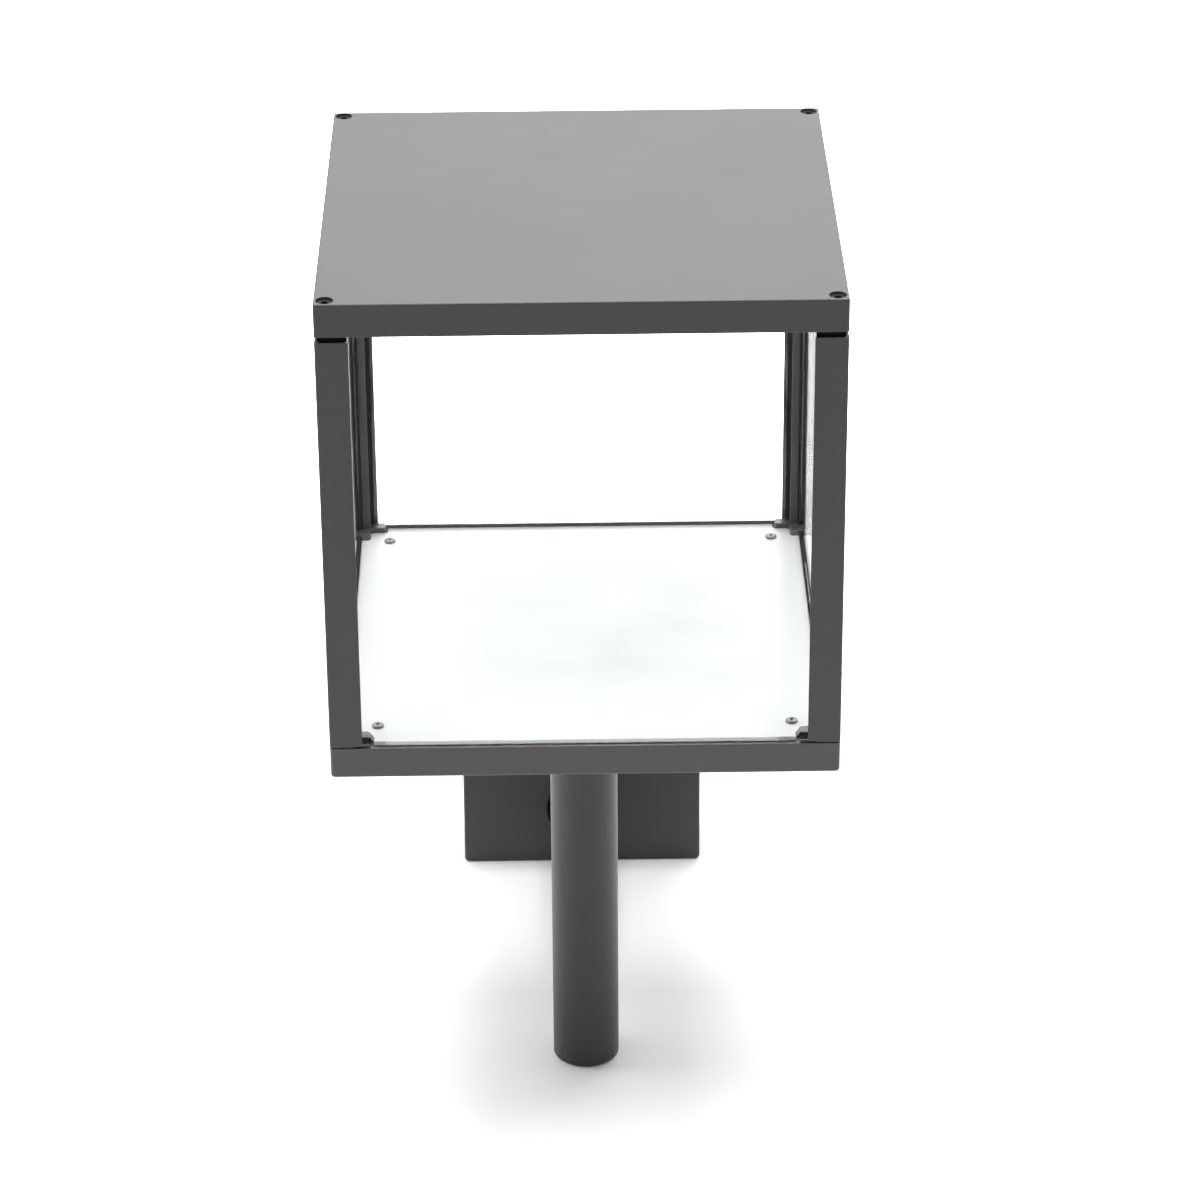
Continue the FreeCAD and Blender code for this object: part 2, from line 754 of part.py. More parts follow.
def side_screws():
    """One flat-headed screw through each end of the box into the wall plate's ears."""
    screws = []
    for side in (-1, 1):
        place = Vector(side * (box_half_width - screw_sink), side_screw_y, 0)
        screw = countersunk_screw(
            place, X_AXIS * side, side_screw_radius, side_screw_head_radius, side_screw_length, screw_socket
        )
        screws.append(screw)
    return Part.makeCompound(screws)


def wall_box():
    """The cast box, open at the wall, that the arm passes into."""
    depth = (box_front_y, -wall_gasket_thickness)
    shell = level_block(box_half_width, box_half_height, depth, wall_box_corner, 1.2)
    cavity = box(
        (-cavity_half_width, cavity_half_width),
        (cavity_front_y, 1),
        (-cavity_half_height, cavity_half_height),
    )
    arm_hole = Part.makeCylinder(arm_radius, wall_box_front + 2, Vector(0, box_front_y - 1, 0), Y_AXIS)
    cuts = [cavity, arm_hole]
    for side in (-1, 1):
        place = Vector(side * (box_half_width - screw_sink), side_screw_y, 0)
        hole_depth = 2 * wall_box_side
        cuts.append(
            countersunk_hole(place, X_AXIS * side, side_screw_radius, side_screw_head_radius, hole_depth)
        )
    return shell.cut(cuts)


def wall_gasket():
    """The foam frame between the box's rim and the wall."""
    frame = level_block(box_half_width, box_half_height, (-wall_gasket_thickness, 0), wall_box_corner, 0)
    opening = box(
        (-cavity_half_width, cavity_half_width), (-wall_gasket_thickness - 1, 1),
        (-cavity_half_height, cavity_half_height),
    )
    return frame.cut(opening)


def wall_slot(x):
    """A slotted hole through the wall plate, long side level."""
    reach_each_way = wall_slot_length / 2 - wall_slot_radius
    depth = wall_plate_thickness + 2
    middle = box(
        (x - reach_each_way, x + reach_each_way), (-depth, 1), (-wall_slot_radius, wall_slot_radius)
    )
    ends = []
    for way in (-1, 1):
        end = Vector(x + way * reach_each_way, -depth, 0)
        ends.append(Part.makeCylinder(wall_slot_radius, depth + 1, end, Y_AXIS))
    return fuse([middle] + ends)


def wall_plate():
    """The plate that is screwed to the wall, with an ear at each end for the box's screws."""
    back = box(
        (-plate_half_width, plate_half_width),
        (-wall_plate_thickness, 0),
        (-plate_half_height, plate_half_height),
    )
    pieces = [back]
    through = wall_plate_thickness + 2
    entry_start = Vector(0, -wall_plate_thickness - 1, 0)
    cuts = [Part.makeCylinder(entry_hole_radius, through, entry_start, Y_AXIS)]
    for side in (-1, 1):
        ear_x = sorted((side * plate_half_width, side * (plate_half_width - wall_plate_thickness)))
        ear_y = (-wall_plate_thickness - ear_depth, 0)
        pieces.append(box(ear_x, ear_y, (-ear_half_height, ear_half_height)))
        tapped_start = Vector(side * (plate_half_width + 1), side_screw_y, 0)
        cuts.append(Part.makeCylinder(side_screw_radius, through, tapped_start, X_AXIS * -side))
        cuts.append(wall_slot(side * wall_slot_spacing / 2))
    cuts.append(Part.makeCylinder(earth_radius, through, earth_place - Y_AXIS, Y_AXIS))
    return fuse(pieces).cut(cuts)


def entry_grommet():
    """The rubber bush for the supply cable, flush with the plate's back face."""
    flange_thickness = 2.0
    body_start = Vector(0, -wall_plate_thickness, 0)
    body = ring(entry_hole_radius, entry_bore_radius, body_start, Y_AXIS, wall_plate_thickness)
    flange_start = Vector(0, -wall_plate_thickness - flange_thickness, 0)
    flange_radius = entry_hole_radius + 2
    flange = ring(flange_radius, entry_bore_radius, flange_start, Y_AXIS, flange_thickness)
    return fuse([body, flange])


def earth_screw():
    """The earth connection on the wall plate."""
    return pan_screw(
        earth_place, -Y_AXIS, earth_radius, earth_head_radius,
        earth_head_height, wall_plate_thickness, earth_socket,
    )


add("wall_box", wall_box())
add("side_screws", side_screws())
add("wall_gasket", wall_gasket())
add("wall_plate", wall_plate())
add("entry_grommet", entry_grommet())
add("earth_screw", earth_screw())

# ---------------------------------------------------------------- bracket: electrics in the wall box
driver_x = (-56.0, -22.0)
driver_depth = 18.0
driver_half_height = 26.0
driver_pad_thickness = 1.0
terminal_x = (16.0, 37.0)
terminal_depth = 16.0
terminal_half_height = 15.0
terminal_pitch = 9.0
terminal_well_radius = 3.2
terminal_well_depth = 8.0
terminal_screw_radius = 3.0
terminal_middle_x = (terminal_x[0] + terminal_x[1]) / 2
driver_back_y = cavity_front_y + driver_pad_thickness + driver_depth
terminal_front_y = -wall_plate_thickness - terminal_depth


def led_driver():
    """The sealed power supply, fixed to the inside of the box's front."""
    middle_x = (driver_x[0] + driver_x[1]) / 2
    half_x = (driver_x[1] - driver_x[0]) / 2
    case = rounded_block(half_x, driver_half_height, (0, driver_depth), 2.0, 0, 1.0)
    case.rotate(ORIGIN, X_AXIS, -90)
    case.translate(Vector(middle_x, driver_back_y - driver_depth, 0))
    return case


def driver_pad():
    """The adhesive pad behind the power supply."""
    inset = 3.0
    return box(
        (driver_x[0] + inset, driver_x[1] - inset),
        (cavity_front_y, cavity_front_y + driver_pad_thickness),
        (-driver_half_height + inset, driver_half_height - inset),
    )


def terminal_heights():
    """The levels of the three terminals: live, earth and neutral."""
    return [terminal_pitch * step for step in (-1, 0, 1)]


def terminal_block():
    """The three-pole block on the wall plate, with a round well over each screw."""
    height = (-terminal_half_height, terminal_half_height)
    block = box(terminal_x, (terminal_front_y, -wall_plate_thickness), height)
    wells = []
    for level in terminal_heights():
        mouth = Vector(terminal_middle_x, terminal_front_y, level)
        wells.append(Part.makeCylinder(terminal_well_radius, terminal_well_depth, mouth, Y_AXIS))
    return block.cut(wells)


def terminal_screws():
    """The three clamping screws at the bottom of the terminals' wells."""
    screw_length = 4.0
    slot_depth = 1.0
    slot_half_width = 0.4
    top_y = terminal_front_y + terminal_well_depth - screw_length
    screws = []
    for level in terminal_heights():
        top = Vector(terminal_middle_x, top_y, level)
        screw = Part.makeCylinder(terminal_screw_radius, screw_length, top, Y_AXIS)
        slot = box(
            (terminal_middle_x - terminal_well_radius, terminal_middle_x + terminal_well_radius),
            (top_y - 1, top_y + slot_depth),
            (level - slot_half_width, level + slot_half_width),
        )
        screws.append(screw.cut(slot))
    return Part.makeCompound(screws)


def stem_lead():
    """The lead from the power supply through the arm and up the stem to the swivel."""
    lead_y = driver_back_y - 3.0
    route = [
        Vector(driver_x[1], lead_y, 0),
        Vector(0, lead_y, 0),
        Vector(0, -reach, 0),
        Vector(0, -reach, head_rise + head_lead_start - 0.1),
    ]
    box_bend = 9.0
    stem_bend = 20.0
    return lead(route, [box_bend, stem_bend], lead_radius)


def supply_link():
    """The short pair from the terminal block to the power supply, hanging a little slack."""
    link_y = driver_back_y - 2.0
    level = 15.0
    slack = 5.0
    straight_end = 8.0
    bend = 8.0
    link_radius = 1.5
    middle_x = (terminal_x[0] + driver_x[1]) / 2
    route = [
        Vector(terminal_x[0], link_y, level),
        Vector(terminal_x[0] - straight_end, link_y, level),
        Vector(middle_x, link_y, level - slack),
        Vector(driver_x[1] + straight_end, link_y, level),
        Vector(driver_x[1], link_y, level),
    ]
    return lead(route, [bend, bend, bend], link_radius)


add("led_driver", led_driver())
add("driver_pad", driver_pad())
add("terminal_block", terminal_block())
add("terminal_screws", terminal_screws())
add("stem_lead", stem_lead())
add("supply_link", supply_link())

# ---------------------------------------------------------------- write the sub-parts
os.makedirs("parts", exist_ok=True)
for name, shape in parts.items():
    if not shape.isValid():
        print("not valid:", name)
    shape.exportStep(os.path.join("parts", f"{name}.step"))
print(len(parts), "sub-parts")
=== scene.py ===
import json
import math

import bmesh
import bpy
from mathutils import Matrix, Vector, noise


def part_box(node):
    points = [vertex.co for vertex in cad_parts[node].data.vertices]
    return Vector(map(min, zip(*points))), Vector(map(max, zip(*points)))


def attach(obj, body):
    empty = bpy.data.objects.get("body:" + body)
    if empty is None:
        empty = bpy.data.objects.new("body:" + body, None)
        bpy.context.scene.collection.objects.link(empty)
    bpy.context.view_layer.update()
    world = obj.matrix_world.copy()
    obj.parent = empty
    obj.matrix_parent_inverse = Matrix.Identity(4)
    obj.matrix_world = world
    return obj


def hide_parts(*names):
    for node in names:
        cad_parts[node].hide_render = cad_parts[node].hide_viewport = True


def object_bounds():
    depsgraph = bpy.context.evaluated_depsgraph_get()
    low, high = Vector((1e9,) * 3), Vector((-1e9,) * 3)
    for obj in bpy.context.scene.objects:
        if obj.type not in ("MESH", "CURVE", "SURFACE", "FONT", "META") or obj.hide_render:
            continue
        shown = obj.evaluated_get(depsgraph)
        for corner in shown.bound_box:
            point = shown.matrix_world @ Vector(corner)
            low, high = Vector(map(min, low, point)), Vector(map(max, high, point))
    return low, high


# Looks for the wall-bracket lantern. Metres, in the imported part's own frame: +Z is up, +Y points into
# the wall, and the lantern's front faces -Y. The part was photographed standing on its stem's foot.

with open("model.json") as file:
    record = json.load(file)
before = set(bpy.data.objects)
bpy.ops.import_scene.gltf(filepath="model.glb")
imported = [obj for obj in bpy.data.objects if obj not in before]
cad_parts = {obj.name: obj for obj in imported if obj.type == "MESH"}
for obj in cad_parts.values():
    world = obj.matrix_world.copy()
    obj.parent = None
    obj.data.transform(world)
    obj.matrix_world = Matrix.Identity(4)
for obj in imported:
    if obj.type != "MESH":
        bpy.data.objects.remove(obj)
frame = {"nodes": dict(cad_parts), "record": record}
cad_low, cad_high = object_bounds()
nodes = frame["nodes"]

MM = 0.001
WHITE = (1.0, 1.0, 1.0, 1.0)
NOISE_RANGE = (0.3, 0.7)  # where most of a noise texture's values lie
body_of_node = {
    node: body for body, members in frame["record"]["behaviour"]["bodies"].items() for node in members
}


# ---------------------------------------------------------------- node helpers
def new_material(name):
    """An empty node material; returns it with its node tree and its Principled shader."""
    material = bpy.data.materials.new(name)
    material.use_nodes = True
    return material, material.node_tree, material.node_tree.nodes["Principled BSDF"]


def add_node(tree, kind, inputs=None, **settings):
    """A node with its settings and inputs. An input is either a value or another node's output."""
    made = tree.nodes.new(kind)
    for name, value in settings.items():
        setattr(made, name, value)
    for name, value in (inputs or {}).items():
        if isinstance(value, bpy.types.NodeSocket):
            tree.links.new(value, made.inputs[name])
        else:
            made.inputs[name].default_value = value
    return made


def set_inputs(tree, shader, **inputs):
    """Values or outputs for a shader's inputs; underscores stand for the spaces in their names."""
    for name, value in inputs.items():
        socket = shader.inputs[name.replace("_", " ")]
        if isinstance(value, bpy.types.NodeSocket):
            tree.links.new(value, socket)
        else:
            socket.default_value = value


def grey(level):
    """A neutral colour."""
    return (level, level, level, 1.0)


def part_space(tree):
    """Coordinates fixed to the piece, in metres."""
    return add_node(tree, "ShaderNodeTexCoord").outputs["Object"]


def noise_field(tree, place, size, detail, roughness=0.55):
    """Cloudy noise between 0 and 1 whose features are about this many metres across."""
    field = add_node(
        tree, "ShaderNodeTexNoise",
        {"Vector": place, "Scale": 1.0 / size, "Detail": detail, "Roughness": roughness},
    )
    return field.outputs["Fac"]


def remap(tree, value, before, after):
    """A value moved from one range to another, clamped at its ends."""
    made = add_node(
        tree, "ShaderNodeMapRange",
        {
            "Value": value,
            "From Min": before[0],
            "From Max": before[1],
            "To Min": after[0],
            "To Max": after[1],
        },
    )
    return made.outputs["Result"]


def combine(tree, operation, first, second):
    """Two numbers joined by an arithmetic operation."""
    return add_node(tree, "ShaderNodeMath", {0: first, 1: second}, operation=operation).outputs[0]


def mix_colour(tree, share, first, second):
    """The first colour where share is 0, the second where it is 1."""
    made = add_node(tree, "ShaderNodeMix", data_type="RGBA")
    for index, value in ((0, share), (6, first), (7, second)):
        if isinstance(value, bpy.types.NodeSocket):
            tree.links.new(value, made.inputs[index])
        else:
            made.inputs[index].default_value = value
    return made.outputs[2]


def relief(tree, height, depth, normal=None):
    """A bumped normal from a height between 0 and 1 that stands for this many metres."""
    inputs = {"Height": height, "Distance": depth}
    if normal is not None:
        inputs["Normal"] = normal
    return add_node(tree, "ShaderNodeBump", inputs).outputs["Normal"]


def soft_edge_normal(tree, radius):
    """The surface's normal with its sharp edges rounded by a small radius."""
    return add_node(tree, "ShaderNodeBevel", {"Radius": radius}, samples=6).outputs["Normal"]


def edge_share(tree, rounded):
    """0 on flat faces and 1 on edges, from how far the rounded normal leans off the face."""
    start = 0.995
    full = 0.90
    true_normal = add_node(tree, "ShaderNodeNewGeometry").outputs["Normal"]
    alike = add_node(tree, "ShaderNodeVectorMath", {0: rounded, 1: true_normal}, operation="DOT_PRODUCT")
    return remap(tree, alike.outputs["Value"], (start, full), (0.0, 1.0))


def upward_share(tree):
    """1 on faces that look up, 0 on upright and downward ones."""
    true_normal = add_node(tree, "ShaderNodeNewGeometry").outputs["Normal"]
    split = add_node(tree, "ShaderNodeSeparateXYZ", {"Vector": true_normal})
    return remap(tree, split.outputs["Z"], (0.6, 0.9), (0.0, 1.0))


def specks(tree, place, spacing, size, share):
    """Small round specks: 1 inside one, 0 elsewhere. Only this share of the cells holds one."""
    cells = add_node(tree, "ShaderNodeTexVoronoi", {"Vector": place, "Scale": 1.0 / spacing})
    inside = remap(tree, cells.outputs["Distance"], (size / spacing, 0.6 * size / spacing), (0.0, 1.0))
    draw = add_node(tree, "ShaderNodeSeparateColor", {"Color": cells.outputs["Color"]}).outputs["Red"]
    chosen = combine(tree, "LESS_THAN", draw, share)
    return combine(tree, "MULTIPLY", inside, chosen)


# ---------------------------------------------------------------- finishes
def powder_coat(name, depth=1.0):
    """Anthracite satin powder coat: fine grain over a slow orange peel, a little dust, and rubbed edges
    that are painted lighter as a highlight.

    depth scales how light the coat is.
    """
    material, tree, shader = new_material(name)
    place = part_space(tree)
    grain = noise_field(tree, place, size=0.35 * MM, detail=3.0, roughness=0.6)
    peel = noise_field(tree, place, size=1.9 * MM, detail=2.0)
    cloud = noise_field(tree, place, size=45 * MM, detail=4.0)
    rounded = soft_edge_normal(tree, 0.45 * MM)
    edges = edge_share(tree, rounded)

    dark = (0.0368 * depth, 0.0326 * depth, 0.0346 * depth, 1)
    light = (0.0398 * depth, 0.0356 * depth, 0.0376 * depth, 1)
    tone = mix_colour(tree, cloud, dark, light)
    tone = mix_colour(tree, remap(tree, grain, (0.35, 0.75), (0.0, 0.25)), tone, grey(0.050 * depth))
    # Painted highlight: the edges are mixed towards a lighter grey.
    tone = mix_colour(tree, combine(tree, "MULTIPLY", edges, 0.35), tone, grey(0.085))
    dust = specks(tree, place, spacing=13 * MM, size=0.35 * MM, share=0.18)
    dust = combine(tree, "MULTIPLY", dust, upward_share(tree))
    tone = mix_colour(tree, combine(tree, "MULTIPLY", dust, 0.5), tone, grey(0.40))

    smooth = remap(tree, cloud, NOISE_RANGE, (0.415, 0.435))
    smooth = combine(tree, "ADD", smooth, remap(tree, grain, NOISE_RANGE, (-0.02, 0.03)))
    smooth = combine(tree, "SUBTRACT", smooth, combine(tree, "MULTIPLY", edges, 0.05))

    bumped = relief(tree, peel, 0.012 * MM, rounded)
    bumped = relief(tree, grain, 0.012 * MM, bumped)
    set_inputs(tree, shader, Base_Color=tone, Roughness=smooth, Normal=bumped, IOR=1.5)
    return material


def moulded_plastic(name, dark, light, roughness, gloss=0.5):
    """Moulded plastic with an eroded grain, a slow change of tone, and slightly polished edges painted
    lighter as a highlight.
    """
    material, tree, shader = new_material(name)
    place = part_space(tree)
    grain = noise_field(tree, place, size=0.3 * MM, detail=2.0)
    cloud = noise_field(tree, place, size=9 * MM, detail=3.0)
    rounded = soft_edge_normal(tree, 0.3 * MM)
    edges = edge_share(tree, rounded)
    tone = mix_colour(tree, cloud, (*dark, 1), (*light, 1))
    # Painted highlight: the edges are mixed towards a tone brighter than the body.
    edge_highlight_tone = (*(2.2 * c for c in light), 1)
    tone = mix_colour(tree, combine(tree, "MULTIPLY", edges, 0.25), tone, edge_highlight_tone)
    smooth = remap(tree, grain, NOISE_RANGE, (roughness - 0.05, roughness + 0.07))
    smooth = combine(tree, "SUBTRACT", smooth, combine(tree, "MULTIPLY", edges, 0.10))
    set_inputs(
        tree, shader, Base_Color=tone, Roughness=smooth, Normal=relief(tree, grain, 0.012 * MM, rounded),
        IOR=1.5, Specular_IOR_Level=gloss,
    )
    return material


def glass_tone(tree, smear):
    """The faint green cast of clear float glass, a little stronger along a pane's level cut edges."""
    clean = mix_colour(tree, smear, (0.985, 0.993, 0.989, 1), (0.976, 0.988, 0.982, 1))
    true_normal = add_node(tree, "ShaderNodeNewGeometry").outputs["Normal"]
    level = add_node(tree, "ShaderNodeSeparateXYZ", {"Vector": true_normal}).outputs["Z"]
    cut_edge = remap(tree, combine(tree, "ABSOLUTE", level, 0.0), (0.5, 0.7), (0.0, 1.0))
    return mix_colour(tree, cut_edge, clean, (0.90, 0.94, 0.92, 1))


def clear_glass():
    """Clear float glass with a barely wavy surface and light handling marks."""
    material, tree, shader = new_material("clear_glass")
    place = part_space(tree)
    wave = noise_field(tree, place, size=60 * MM, detail=1.0)
    smear = noise_field(tree, place, size=22 * MM, detail=5.0, roughness=0.65)
    marks = remap(tree, smear, (0.60, 0.80), (0.0, 0.03))
    set_inputs(
        tree, shader, Base_Color=glass_tone(tree, smear), Roughness=marks,
        Normal=relief(tree, wave, 0.01 * MM), Transmission_Weight=1.0, IOR=1.5,
    )
    return material


def coated_glass():
    """The front pane's glass, coated against reflections: it mirrors only at a grazing angle."""
    material, tree, shader = new_material("coated_glass")
    tree.nodes.remove(shader)
    place = part_space(tree)
    wave = noise_field(tree, place, size=60 * MM, detail=1.0)
    smear = noise_field(tree, place, size=22 * MM, detail=5.0, roughness=0.65)
    seen_through = add_node(tree, "ShaderNodeBsdfTransparent", {"Color": glass_tone(tree, smear)})
    mirror = add_node(
        tree, "ShaderNodeBsdfGlossy",
        {
            "Color": WHITE,
            "Roughness": remap(tree, smear, (0.45, 0.80), (0.0, 0.08)),
            "Normal": relief(tree, wave, 0.01 * MM),
        },
    )
    lean = add_node(tree, "ShaderNodeLayerWeight", {"Blend": 0.5}).outputs["Facing"]
    share = remap(tree, combine(tree, "POWER", lean, 5.0), (0.0, 1.0), (0.008, 0.90))
    mixed = add_node(
        tree, "ShaderNodeMixShader", {0: share, 1: seen_through.outputs[0], 2: mirror.outputs[0]}
    )
    tree.links.new(mixed.outputs[0], tree.nodes["Material Output"].inputs["Surface"])
    return material


def opal_panel():
    """Opal acrylic: white and satin, with a faint cool patch of painted shade at its middle, over the light
    board.
    """
    material, tree, shader = new_material("opal_panel")
    place = part_space(tree)
    low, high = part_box("led_board")
    middle = (low + high) / 2
    offset = add_node(
        tree, "ShaderNodeVectorMath", {0: place, 1: tuple(middle)}, operation="DISTANCE"
    ).outputs["Value"]
    # Painted shade: the panel turns darker and cooler towards its middle, under the cap.
    middle_painted_shade = remap(tree, offset, (0.10, 0.015), (0.0, 1.0))
    cloud = noise_field(tree, place, size=30 * MM, detail=4.0)
    grain = noise_field(tree, place, size=0.4 * MM, detail=2.0)
    tone = mix_colour(tree, cloud, (0.598, 0.604, 0.600, 1), (0.610, 0.615, 0.610, 1))
    tone = mix_colour(tree, combine(tree, "MULTIPLY", middle_painted_shade, 0.8), tone, (0.555, 0.575, 0.580, 1))
    dust = specks(tree, place, spacing=17 * MM, size=0.30 * MM, share=0.25)
    tone = mix_colour(tree, combine(tree, "MULTIPLY", dust, 0.35), tone, grey(0.45))
    smooth = remap(tree, cloud, NOISE_RANGE, (0.30, 0.40))
    set_inputs(
        tree, shader, Base_Color=tone, Roughness=smooth, Normal=relief(tree, grain, 0.006 * MM), IOR=1.49,
        Subsurface_Weight=0.15, Subsurface_Radius=(0.004, 0.004, 0.0045), Subsurface_Scale=1.0,
    )
    return material


def white_coat():
    """Matt white coat on the reflector sheet, with a light roller texture."""
    material, tree, shader = new_material("white_coat")
    place = part_space(tree)
    peel = noise_field(tree, place, size=1.6 * MM, detail=3.0)
    cloud = noise_field(tree, place, size=60 * MM, detail=3.0)
    tone = mix_colour(tree, cloud, (0.88, 0.88, 0.87, 1), (0.93, 0.93, 0.92, 1))
    smooth = remap(tree, peel, NOISE_RANGE, (0.50, 0.62))
    set_inputs(tree, shader, Base_Color=tone, Roughness=smooth, Normal=relief(tree, peel, 0.02 * MM))
    return material


def rubber(name, dark=0.005, light=0.009, bloom=0.016, roughness=0.66, gloss=0.18):
    """Rubber: matt, with a chalky bloom in patches and a fine skin. Black unless told otherwise."""
    material, tree, shader = new_material(name)
    place = part_space(tree)
    skin = noise_field(tree, place, size=0.25 * MM, detail=3.0)
    cloud = noise_field(tree, place, size=7 * MM, detail=4.0)
    tone = mix_colour(tree, skin, grey(dark), grey(light))
    tone = mix_colour(tree, remap(tree, cloud, (0.50, 0.80), (0.0, 0.5)), tone, grey(bloom))
    smooth = remap(tree, cloud, NOISE_RANGE, (roughness - 0.08, roughness + 0.12))
    set_inputs(
        tree, shader, Base_Color=tone, Roughness=smooth, Normal=relief(tree, skin, 0.015 * MM),
        Specular_IOR_Level=gloss,
    )
    return material


def silicone():
    """Translucent grey silicone, a little rippled where it was pressed out."""
    material, tree, shader = new_material("silicone")
    place = part_space(tree)
    ripple = noise_field(tree, place, size=2.5 * MM, detail=2.0)
    tone = mix_colour(tree, ripple, (0.19, 0.19, 0.185, 1), (0.26, 0.26, 0.255, 1))
    smooth = remap(tree, ripple, NOISE_RANGE, (0.25, 0.42))
    set_inputs(
        tree, shader, Base_Color=tone, Roughness=smooth, Normal=relief(tree, ripple, 0.05 * MM),
        Transmission_Weight=0.10, IOR=1.41,
    )
    return material


def foam():
    """Black closed-cell foam: small open cells on the cut sides and a matt body."""
    material, tree, shader = new_material("foam")
    place = part_space(tree)
    cell_size = 0.7 * MM
    foam_cells = add_node(tree, "ShaderNodeTexVoronoi", {"Vector": place, "Scale": 1.0 / cell_size})
    cells = foam_cells.outputs["Distance"]
    cloud = noise_field(tree, place, size=12 * MM, detail=3.0)
    tone = mix_colour(tree, remap(tree, cells, (0.1, 0.7), (0.0, 1.0)), grey(0.012), grey(0.045))
    tone = mix_colour(tree, combine(tree, "MULTIPLY", cloud, 0.4), tone, grey(0.06))
    smooth = remap(tree, cloud, NOISE_RANGE, (0.82, 0.95))
    set_inputs(tree, shader, Base_Color=tone, Roughness=smooth, Normal=relief(tree, cells, 0.12 * MM))
    return material


def metal(name, dark, light, roughness):
    """Worked metal: fine scratches, patches of tone, and edges painted brighter as a highlight."""
    material, tree, shader = new_material(name)
    place = part_space(tree)
    scratches = noise_field(tree, place, size=0.5 * MM, detail=4.0, roughness=0.65)
    cloud = noise_field(tree, place, size=6 * MM, detail=4.0)
    rounded = soft_edge_normal(tree, 0.15 * MM)
    edges = edge_share(tree, rounded)
    tone = mix_colour(tree, cloud, (*dark, 1), (*light, 1))
    # Painted highlight: the edges are mixed towards a brighter tone.
    edge_highlight_tone = (*(min(1.0, 1.8 * c) for c in light), 1)
    tone = mix_colour(tree, combine(tree, "MULTIPLY", edges, 0.6), tone, edge_highlight_tone)
    smooth = remap(tree, scratches, NOISE_RANGE, (roughness - 0.07, roughness + 0.10))
    set_inputs(
        tree, shader, Base_Color=tone, Roughness=smooth, Metallic=1.0,
        Normal=relief(tree, scratches, 0.006 * MM, rounded),
    )
    return material


def zinc_steel():
    """Zinc-plated steel: bright grey with the plating's cloudy bloom and a trace of yellow."""
    material, tree, shader = new_material("zinc_steel")
    place = part_space(tree)
    bloom = noise_field(tree, place, size=14 * MM, detail=5.0, roughness=0.6)
    fine = noise_field(tree, place, size=0.8 * MM, detail=3.0)
    rounded = soft_edge_normal(tree, 0.3 * MM)
    tone = mix_colour(tree, bloom, (0.27, 0.275, 0.285, 1), (0.40, 0.395, 0.365, 1))
    smooth = remap(tree, bloom, NOISE_RANGE, (0.36, 0.52))
    smooth = combine(tree, "ADD", smooth, remap(tree, fine, NOISE_RANGE, (-0.03, 0.05)))
    set_inputs(
        tree, shader, Base_Color=tone, Roughness=smooth, Metallic=1.0,
        Normal=relief(tree, fine, 0.01 * MM, rounded),
    )
    return material


def led_phosphor():
    """The yellow phosphor window of a white light-emitting package."""
    material, tree, shader = new_material("led_phosphor")
    grain = noise_field(tree, part_space(tree), size=0.12 * MM, detail=3.0)
    tone = mix_colour(tree, grain, (0.80, 0.62, 0.12, 1), (0.92, 0.78, 0.28, 1))
    smooth = remap(tree, grain, NOISE_RANGE, (0.25, 0.40))
    set_inputs(tree, shader, Base_Color=tone, Roughness=smooth, Normal=relief(tree, grain, 0.008 * MM))
    return material


finishes = {
    "powder_coat": powder_coat("powder_coat"),
    "shoe_plastic": moulded_plastic(
        "shoe_plastic", (0.022, 0.019, 0.020), (0.036, 0.032, 0.033), roughness=0.36, gloss=0.7
    ),
    "plug_plastic": moulded_plastic(
        "plug_plastic", (0.024, 0.023, 0.024), (0.034, 0.032, 0.033), roughness=0.45
    ),
    "clear_glass": clear_glass(),
    "opal_panel": opal_panel(),
    "white_coat": white_coat(),
    "silicone": silicone(),
    "dark_screw": moulded_plastic(
        "dark_screw", (0.012, 0.012, 0.012), (0.024, 0.023, 0.022), roughness=0.62, gloss=0.2
    ),
    "steel_screw": metal("steel_screw", (0.13, 0.13, 0.13), (0.20, 0.197, 0.192), roughness=0.44),
    "foam": foam(),
    "black_rubber": rubber("black_rubber"),
    "thermal_sheet": rubber("thermal_sheet", dark=0.28, light=0.34, bloom=0.42, roughness=0.55, gloss=0.5),
    "board_mask": moulded_plastic("board_mask", (0.80, 0.80, 0.78), (0.88, 0.88, 0.86), roughness=0.36),
    "led_phosphor": led_phosphor(),
    "white_plastic": moulded_plastic(
        "white_plastic", (0.70, 0.70, 0.67), (0.80, 0.80, 0.77), roughness=0.40
    ),
    "zinc_steel": zinc_steel(),
    "nylon": moulded_plastic("nylon", (0.60, 0.58, 0.52), (0.70, 0.68, 0.62), roughness=0.45),
    "cable_sheath": rubber("cable_sheath", dark=0.022, light=0.034, bloom=0.06, roughness=0.50, gloss=0.5),
}

for subpart in frame["record"]["subparts"]:
    for material_slot in nodes[subpart["node"]].material_slots:
        material_slot.material = finishes[subpart["material_slot"]]
nodes["glass_front"].material_slots[0].material = coated_glass()

# The base gets a lighter copy of the coat as painted light, and the stem a darker copy as painted shade
nodes["base_tray"].material_slots[0].material = powder_coat("powder_coat_base_painted_light", depth=1.45)
stem_painted_shade_coat = powder_coat("powder_coat_stem_painted_shade", depth=0.60)
for node in ("stem_tube", "stem_plug"):
    nodes[node].material_slots[0].material = stem_painted_shade_coat

# Light passes straight through the other panes instead of only along its bent paths
for side in ("right", "rear", "left"):
    nodes[f"glass_{side}"].visible_shadow = False

# The spacers deep in the gap under the cap get a near-black copy of their plastic: painted shade, as dark
# as the gap itself
gap_shade_plastic = moulded_plastic(
    "gap_shade_plastic", (0.003, 0.003, 0.003), (0.006, 0.006, 0.006), roughness=0.70, gloss=0.08
)
for corner in ("front_left", "front_right", "rear_left", "rear_right"):
    nodes[f"top_shoe_{corner}"].material_slots[0].material = gap_shade_plastic


